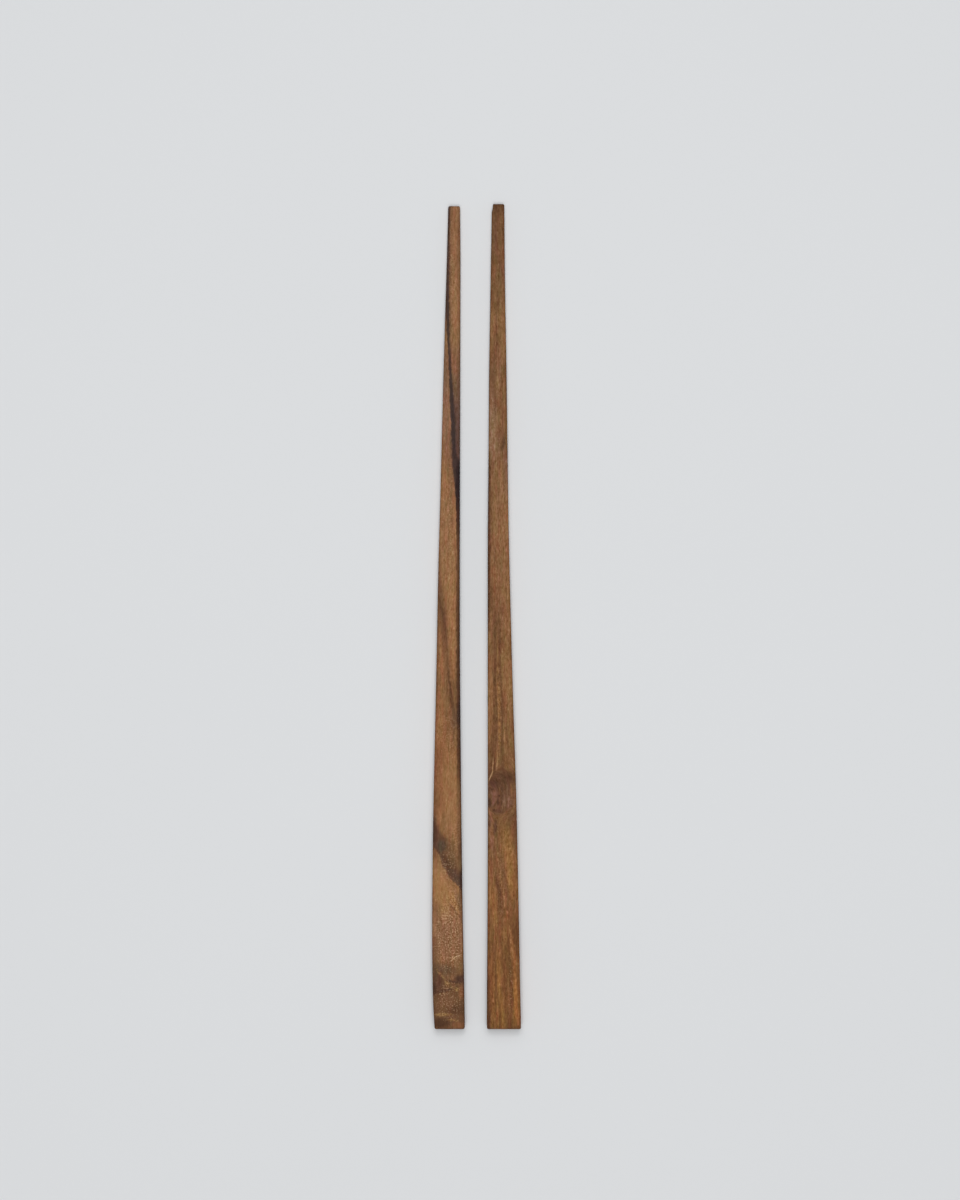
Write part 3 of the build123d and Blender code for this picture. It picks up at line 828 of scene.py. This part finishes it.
        (8.6, 199.4, 0.0, 0.7, 3.0, 3.0, 10, 0.8, "brown", 0.5),
        (6.4, 199.2, 0.0, 0.55, 3.4, 3.0, 11, 0.6, "deep", 0.75),
        (4.9, 203.5, 0.0, 0.9, 5.0, 4.0, 3, 0.8, "gold", 0.5),
        (7.2, 205.0, 0.0, 0.8, 4.0, 4.0, 6, 0.8, "deep", 0.35),
        (4.3, 227.0, 0.0, 0.6, 8.6, 3.0, 0, 0.7, "rust", 0.5),
        (9.5, 231.8, 0.0, 0.3, 5.0, 2.0, 2, 0.8, "line", 0.35),
        (11.6, 239.6, 0.0, 1.6, 0.7, 3.0, 0, 0.6, "deep", 0.6),
        (7.0, 90.0, 8.0, 1.6, 40.0, 2.6, 1, 0.7, "bark", 0.6),
        (9.0, 180.0, 9.0, 2.2, 30.0, 3.0, -2, 0.7, "gold", 0.5),
        (5.0, 205.0, 9.0, 1.4, 20.0, 2.6, 2, 0.6, "deep", 0.7),
    ],
    "stipple": [
        (9.8, 227.5, 0.7, 8.0, 0.8, 0.45),
        (6.6, 150.0, 0.7, 14.0, 0.7, 0.35),
        (4.9, 62.0, 0.9, 9.0, 0.8, 0.28),
        (7.2, 196.0, 1.6, 12.0, 0.9, 0.3),
    ],
    "speckled": (),
    "upright": [(0, 0.0), (240, 0.0)],
    "knot": {
        "at": (7.0, 171.6),
        "half": (4.1, 6.3),
        "wobble": (0.35, (1.5, 1.5, 4)),  # share by which its outline wavers, and the size of that in mm
        "bend": (1.15, 0.85),  # where the fibres turn into its rings, as shares of its half sizes
        "edge": (1.10, 0.88),  # where it turns dark
        "dark": 0.85,
        "heart": (3.6, 173.2),  # what its rings bend round
        "stretch": 2.4,  # how much longer than wide they are
        "rings": (0.75, (1, 4, 1)),  # mm between them, and how uneven they are
        "tail": (179.5, 174.0),  # where its dark fades out towards the butt
    },
}

# The noises of the grain: mm across and along the fibres, detail, how rough that is, and a shift that keeps
# it apart from the others

fibreNoises = {
    "broad": (2.2, 45, 2.0, 0.5, 0.0),  # from one brown to the other
    "reddish": (0.9, 6, 3.0, 0.6, 31.0),
    "greenish": (1.0, 5, 3.0, 0.6, 43.0),
    "clouds": (2.4, 4.5, 3.0, 0.6, 53.0),
    "streaks": (0.6, 12, 3.0, 0.6, 7.0),
    "blotches": (0.52, 1.25, 2.0, 0.5, 13.0),
    "threads": (0.2, 1.6, 2.0, 0.5, 3.0),
    "dashes": (0.22, 0.9, 1.0, 0.5, 11.0),  # pores that are cut along
    "glints": (0.34, 0.62, 1.0, 0.5, 19.0),
    "flocks": (1.1, 4.0, 2.0, 0.5, 29.0),  # where the glints crowd
}

faceNoises = {
    "dots": (0.42, 0.42, 1.5, 0.5, 5.0),
    "pits": (0.36, 0.4, 1.0, 0.5, 23.0),  # pores that end in the face, where the fibres come up
}

figure = {
    "sway": ((5, 40, 5), 1.6),  # mm in which the fibres sway, and how far
    "ringWaves": ((3, 60, 3), 1.5),  # mm in which the growth rings waver, and how far
    "stir": ((0.9, 1.6, 0.9), 1.5),  # mm in which edges are ragged, and how many times as far along as across
    "narrow": (0.3, 0.3),  # marks of less than this half width in mm get this share of the raggedness
    "stippleDepth": 7.0,  # mm that stippled places reach down
    "redShare": 0.3,  # how far red changes where green changes fully
    "endPores": (0.2, 4.0, 0.2),
}

finish = {
    "veil": 0.0125,  # light that the satin surface adds: it is taken off every colour
    "darkest": 0.002,
    "rings": (1.35, 0.14),  # mm between growth rings, and how strongly they show on the faces
    "ends": (0.30, 0.55, 0.60),  # how much darker end grain is: all of it, its rings and its pores
    "lift": 1.015,  # makes up for what the pores darken
    "sheen": (0.75, 1.0, 1.6),  # fibres shine whitish, a sheen painted into the fine grain: how far they change red, green and blue
    "roughness": 0.64,
    "rougher": (0.16, 0.12, -0.08),  # what the fibres, the pores and wear add to it
    "specular": 0.14,
    "relief": 0.035,  # mm from the highest fibre to the lowest pore
}


def bare(levels):
    # the wood's own colour, without the light that its satin surface adds
    return tuple(max(level - finish["veil"], finish["darkest"]) for level in tone(*levels)[:3]) + (1.0,)


class Wood(Recipe):
    def __init__(self, wood):
        self.material = bpy.data.materials.new(wood["name"])
        super().__init__(self.material)
        self.shader = self.tree.nodes["Principled BSDF"]
        self.wood = wood
        self.length = wood["shape"]["length"]
        self.tones = {name: bare(levels) for name, levels in wood["tones"].items()}

    def paint(self, name, *shares):
        # lays a tone over the wood, as strongly as all its shares multiplied
        amount = shares[0]
        for share in shares[1:]:
            amount = self.times(amount, share)
        self.colour = self.mix(amount, self.colour, self.tones[name])

    def measure(self):
        # places in mm: x, along from the tip, and depth below the top face
        shape = self.wood["shape"]
        corner = self.node("ShaderNodeTexCoord")
        self.place = self.vector("DIVIDE", corner.outputs["Object"], (mm, mm, mm))
        self.facing = corner.outputs["Normal"]
        self.x, y, z = self.split(self.place)
        self.along = self.minus(buttY / mm + self.length, y)
        rise = (shape["buttHeight"] - shape["tipHeight"]) / self.length
        self.depth = self.minus(self.calc("MULTIPLY_ADD", self.along, rise, shape["tipHeight"]), z)

    def runFibres(self):
        # fibres run along the stick, sway a little and part round the knot
        size, reach = figure["sway"]
        swayed = self.vector("MULTIPLY_ADD", self.swing(self.place, size), (reach, 0.0, reach), self.place)
        parts = self.split(swayed)
        self.fibreX = self.calc("MULTIPLY_ADD", self.along, self.wood["tilt"], parts[0])
        self.fibreZ = parts[2]
        if self.wood["knot"]:
            self.partFibres(self.wood["knot"])
        self.fibres = self.join(self.fibreX, self.along, self.fibreZ)

    def partFibres(self, knot):
        # outside the knot they are pushed aside, and inside it they turn into its rings
        fromX = self.minus(self.x, knot["at"][0])
        fromY = self.minus(self.along, knot["at"][1])
        halfX, halfY = knot["half"]
        stretched = self.join(self.calc("DIVIDE", fromX, halfX), self.calc("DIVIDE", fromY, halfY), 0.0)
        share, size = knot["wobble"]
        wobble = self.calc("MULTIPLY_ADD", self.grains(self.place, size), share, -share / 2)
        self.knotShare = self.calc("ADD", self.distance(stretched), wobble)
        outside = self.calc("MAXIMUM", self.times(self.knotShare, self.knotShare), 1.0)
        parted = self.times(fromX, self.calc("DIVIDE", 1.0, outside))
        around = self.minus(self.fibreX, parted)
        heartX, heartY = knot["heart"]
        shortened = self.calc("DIVIDE", self.minus(self.along, heartY), knot["stretch"])
        fromHeart = self.join(self.minus(self.x, heartX), shortened, 0.0)
        self.ringed = self.calc("ADD", self.distance(fromHeart), wobble)
        self.fibreX = self.between(self.fade(self.knotShare, *knot["bend"]), around, self.ringed)

    def spinGrain(self):
        self.layers = {}
        fibreLayers = dict(fibreNoises, strands=self.wood["strands"])
        for place, noises in ((self.fibres, fibreLayers), (self.place, faceNoises)):
            for name, (across, along, detail, rough, shift) in noises.items():
                self.layers[name] = self.grains(place, (across, along, across), detail, rough, shift=shift)
        layers = self.layers
        upright = self.curve(self.wood["upright"], self.along, self.length)
        self.thread = self.between(upright, layers["threads"], layers["pits"])
        self.pore = self.fade(self.between(upright, layers["dashes"], layers["pits"]), 0.56, 0.70)
        # bright flecks where the glints crowd: partly pale specks of the wood, partly painted glints
        glint = self.fade(layers["glints"], 0.56, 0.70)
        self.fleckAndGlint = self.times(glint, self.fade(layers["flocks"], 0.40, 0.62))

    def washGrain(self):
        # each wash: the noise that it follows, where that starts and where it is full, tone and strength
        paleShow, deepShow = self.wood["grain"]["streak"]
        washes = (
            ("reddish", 0.50, 0.68, "rust", 0.45),
            ("greenish", 0.50, 0.68, "olive", 0.45),
            ("streaks", 0.50, 0.70, "pale", paleShow),
            ("streaks", 0.46, 0.30, "deep", deepShow),
        )
        warmth = self.fade(self.layers["broad"], 0.38, 0.62)
        self.colour = self.mix(warmth, self.tones["plain"], self.tones["warm"])
        for layer, start, full, name, strength in washes:
            self.paint(name, self.fade(self.layers[layer], start, full), strength)

    def growRings(self):
        # growth rings cross the ends as arcs and run down the faces as fine lines
        pitch, show = finish["rings"]
        pithX, pithZ = self.wood["pith"]
        size, reach = figure["ringWaves"]
        fromPith = self.join(self.minus(self.fibreX, pithX), 0.0, self.minus(self.fibreZ, pithZ))
        wavy = self.grains(self.fibres, size, shift=37.0)
        wavy = self.calc("MULTIPLY_ADD", wavy, reach, self.distance(fromPith))
        self.ring = self.calc("SINE", self.times(wavy, 2 * math.pi / pitch))
        self.paint("deep", self.fade(self.ring, 0.2, 1.0), show)

    def roughenEdges(self):
        # veins lean as they go down through the stick, and have ragged edges
        across = self.calc("MULTIPLY_ADD", self.depth, self.wood["lean"], self.x)
        clean = self.join(across, self.along, self.depth)
        size, further = figure["stir"]
        stir = self.swing(clean, size, detail=3.0)
        rag = 2 * self.wood["rag"]
        reach = (rag, rag * further, rag)
        gentleReach = tuple(side * figure["narrow"][1] for side in reach)
        self.ragged = self.vector("MULTIPLY_ADD", stir, reach, clean)
        self.gentle = self.vector("MULTIPLY_ADD", stir, gentleReach, clean)

    def drawVeins(self):
        veinX, veinAlong = self.split(self.ragged)[:2]
        for vein in self.wood["veins"]:
            left = self.curve(vein["left"], veinAlong, self.length)
            right = self.curve(vein["right"], veinAlong, self.length)
            softLeft, softRight = vein["soft"]
            pastLeft = self.fade(self.minus(veinX, left), -softLeft / 2, softLeft / 2)
            pastRight = self.fade(self.minus(veinX, right), softRight / 2, -softRight / 2)
            shares = [pastLeft, pastRight, self.curve(vein["strength"], self.along, self.length)]
            if vein.get("broken"):
                shares.append(self.fade(self.layers["blotches"], 0.38, 0.58))
            self.paint(vein["tone"], *shares)

    def drawKnot(self, knot):
        inside = self.times(self.fade(self.knotShare, *knot["edge"]), self.fade(self.along, *knot["tail"]))
        pitch, size = knot["rings"]
        rings = self.grains(self.join(self.calc("DIVIDE", self.ringed, pitch), self.along, 0.0), size)
        heart = self.mix(self.fade(rings, 0.34, 0.70), self.tones["heart"], self.tones["brown"])
        self.colour = self.mix(self.times(inside, knot["dark"]), self.colour, heart)

    def mark(self, centre, half, turn, soft):
        # 1 inside an oval, 0 outside it, and between them over the share soft of its half sizes each way
        isNarrow = min(half) < figure["narrow"][0]
        ball = self.node("ShaderNodeMapping", vector_type="TEXTURE")
        self.plug(ball.inputs["Vector"], self.gentle if isNarrow else self.ragged)
        ball.inputs["Location"].default_value = centre
        ball.inputs["Rotation"].default_value = (0, 0, -math.radians(turn))
        ball.inputs["Scale"].default_value = [side * (1 + soft) for side in half]
        fall = self.node("ShaderNodeTexGradient", gradient_type="SPHERICAL")
        self.plug(fall.inputs["Vector"], ball.outputs[0])
        return self.fade(fall.outputs["Fac"], 0.0, 2 * soft / (1 + soft))

    def drawPatches(self):
        if self.wood["speckled"]:
            flecked = self.fade(self.layers["dots"], 0.36, 0.56)
        for patch in self.wood["patches"]:
            turn, soft, name, strength = patch[6:]
            shares = [self.mark(patch[:3], patch[3:6], turn, soft)]
            if name in self.wood["speckled"]:
                shares.append(flecked)
            self.paint(name, *shares, strength)

    def vary(self, layer, strength, level=1.0):
        # a factor round level that goes up and down with a noise
        return self.calc("MULTIPLY_ADD", layer, 2 * strength * level, (1 - strength) * level)

    def shadeGrain(self):
        # the grain darkens and lightens all of it, and turns it a little to red or green
        grain, layers = self.wood["grain"], self.layers
        gain = self.curve(self.wood["shade"], self.along, self.length)
        gain = self.times(gain, self.vary(layers["clouds"], grain["cloud"], finish["lift"]))
        fine = self.calc("MULTIPLY_ADD", self.pore, -grain["pore"], 1.0)
        # the bright flecks, partly painted glints, lighten it
        fine = self.times(fine, self.calc("MULTIPLY_ADD", self.fleckAndGlint, grain["fleckAndGlint"], 1.0))
        fine = self.times(fine, self.vary(layers["blotches"], grain["mottle"]))
        fine = self.times(fine, self.vary(layers["strands"], grain["strand"]))
        fine = self.times(fine, self.vary(self.thread, grain["fibre"]))
        blush = self.times(self.minus(layers["reddish"], layers["greenish"]), grain["blush"])
        turns = [
            self.calc("MULTIPLY_ADD", blush, figure["redShare"], 1.0),
            self.minus(self.curve(self.wood["green"], self.along, self.length), blush),
            self.curve(self.wood["blue"], self.along, self.length),
        ]
        changes = []
        # the fine grain is painted whitish here, a painted sheen of the fibres
        for sheen, turn in zip(finish["sheen"], turns):
            changes.append(self.times(self.times(gain, self.calc("POWER", fine, sheen)), turn))
        self.colour = self.vector("MULTIPLY", self.colour, self.join(*changes))

    def drawStipple(self):
        for atX, atAlong, halfWidth, halfLength, soft, strength in self.wood["stipple"]:
            half = (halfWidth, halfLength, figure["stippleDepth"])
            zone = self.times(self.mark((atX, atAlong, 0), half, 0, soft), strength)
            self.paint("pit", zone, self.fade(self.layers["dots"], 0.50, 0.30))
            # the pale dots: partly fibre ends, partly painted glints
            self.paint("fleckAndGlint", zone, self.fade(self.layers["dots"], 0.54, 0.72))

    def darkenEnds(self):
        # end grain drinks more oil, so it is darker, most of all its rings and its open pores
        everywhere, inRings, inPores = finish["ends"]
        endGrain = self.fade(self.calc("ABSOLUTE", self.split(self.facing)[1]), 0.6, 0.95)
        pores = self.fade(self.grains(self.place, figure["endPores"], detail=1.0, shift=61.0), 0.54, 0.62)
        self.paint("deep", endGrain, everywhere)
        self.paint("bark", endGrain, self.fade(self.ring, 0.1, 1.0), inRings)
        self.paint("bark", endGrain, pores, inPores)

    def polish(self):
        fibres, pores, worn = finish["rougher"]
        wear = self.node("ShaderNodeAttribute", attribute_name="wear").outputs["Fac"]
        roughness = self.calc("MULTIPLY_ADD", self.thread, fibres, finish["roughness"] - fibres / 2)
        roughness = self.calc("MULTIPLY_ADD", self.pore, pores, roughness)
        roughness = self.calc("MULTIPLY_ADD", wear, worn, roughness)
        height = self.minus(self.times(self.thread, 0.5), self.times(self.pore, 0.5))
        bump = self.node("ShaderNodeBump")
        bump.inputs["Distance"].default_value = finish["relief"] * mm
        self.plug(bump.inputs["Height"], height)
        self.plug(self.shader.inputs["Base Color"], self.colour)
        self.plug(self.shader.inputs["Roughness"], roughness)
        self.plug(self.shader.inputs["Normal"], bump.outputs[0])
        self.shader.inputs["Specular IOR Level"].default_value = finish["specular"]


def woodMaterial(wood):
    made = Wood(wood)
    made.measure()
    made.runFibres()
    made.spinGrain()
    made.washGrain()
    made.growRings()
    made.roughenEdges()
    made.drawVeins()
    if wood["knot"]:
        made.drawKnot(wood["knot"])
    made.drawPatches()
    made.shadeGrain()
    made.drawStipple()
    made.darkenEnds()
    made.polish()
    print(wood["name"], "has", len(made.tree.nodes), "nodes")
    return made.material


for shape, wood in ((leftShape, veinedWood), (rightShape, straightWood)):
    stick = buildStick(shape)
    stick.data.materials.append(woodMaterial(wood))
    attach(stick, "root")
    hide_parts(shape["node"])


# Table and light: a pale table under soft boxes that hang over the tips' side of the camera

table = {
    "side": 4.0,
    "colour": (221, 223, 225),
    "cloud": 0.12,  # metres across a faint cloud in its paper
    "dim": 0.985,  # how bright the darkest of the clouds is
    "roughness": 0.9,
    "specular": 0.1,
}

light = {
    "world": 0.15,
    "cells": 8,  # each box is reckoned as so many by so many lamps
    "boxes": [  # (name, share of the light, height, centre x and y, size x and y), in metres
        ("near_box", 0.60, 1.8, (0.0, 0.04), (0.40, 1.10)),
        ("wide_box", 0.25, 1.8, (0.0, 0.16), (1.00, 1.90)),
    ],
}


def layTable(wanted):
    half = wanted["side"] / 2
    corners = [(-half, -half, 0), (half, -half, 0), (half, half, 0), (-half, half, 0)]
    mesh = bpy.data.meshes.new("table")
    mesh.from_pydata(corners, [], [(0, 1, 2, 3)])
    top = bpy.data.objects.new("table", mesh)
    bpy.context.scene.collection.objects.link(top)
    paper = bpy.data.materials.new("table_paper")
    recipe = Recipe(paper)
    shader = recipe.tree.nodes["Principled BSDF"]
    corner = recipe.node("ShaderNodeTexCoord")
    cloud = recipe.grains(corner.outputs["Object"], (wanted["cloud"],) * 3)
    pale = tone(*wanted["colour"])
    dim = tuple(level * wanted["dim"] for level in pale[:3]) + (1.0,)
    recipe.plug(shader.inputs["Base Color"], recipe.mix(cloud, dim, pale))
    shader.inputs["Roughness"].default_value = wanted["roughness"]
    shader.inputs["Specular IOR Level"].default_value = wanted["specular"]
    mesh.materials.append(paper)


def hangLights(wanted):
    cells = wanted["cells"]
    steps = [(cell + 0.5) / cells - 0.5 for cell in range(cells)]
    for name, share, height, centre, size in wanted["boxes"]:
        lamp = bpy.data.lights.new(name, "AREA")
        lamp.shape = "RECTANGLE"
        lamp.size, lamp.size_y = size
        # the energy that gives this share of full light straight below, for a box of this size
        reach = 0.0
        for stepX in steps:
            for stepY in steps:
                far = Vector((centre[0] + size[0] * stepX, centre[1] + size[1] * stepY, height)).length
                reach += height ** 2 / far ** 4 / cells ** 2
        lamp.energy = share * math.pi ** 2 / reach
        box = bpy.data.objects.new(name, lamp)
        box.location = (centre[0], centre[1], height)
        box.visible_camera = False
        bpy.context.scene.collection.objects.link(box)


def lightWorld(wanted, pale):
    # the camera and reflections see it pale like the table, and the light that it sheds is white and faint
    world = bpy.data.worlds.new("studio")
    recipe = Recipe(world)
    background = recipe.tree.nodes["Background"]
    ray = recipe.node("ShaderNodeLightPath").outputs
    seen = recipe.calc("ADD", ray["Is Camera Ray"], ray["Is Glossy Ray"])
    seen = recipe.calc("MINIMUM", recipe.calc("ADD", seen, ray["Is Transmission Ray"]), 1.0)
    strength = recipe.calc("MULTIPLY_ADD", seen, 1.0 - wanted["world"], wanted["world"])
    colour = recipe.mix(seen, (1, 1, 1, 1), tone(*pale))
    recipe.plug(background.inputs["Color"], colour)
    recipe.plug(background.inputs["Strength"], strength)
    bpy.context.scene.world = world


layTable(table)
hangLights(light)
lightWorld(light, table["colour"])
print("table and lights in place")
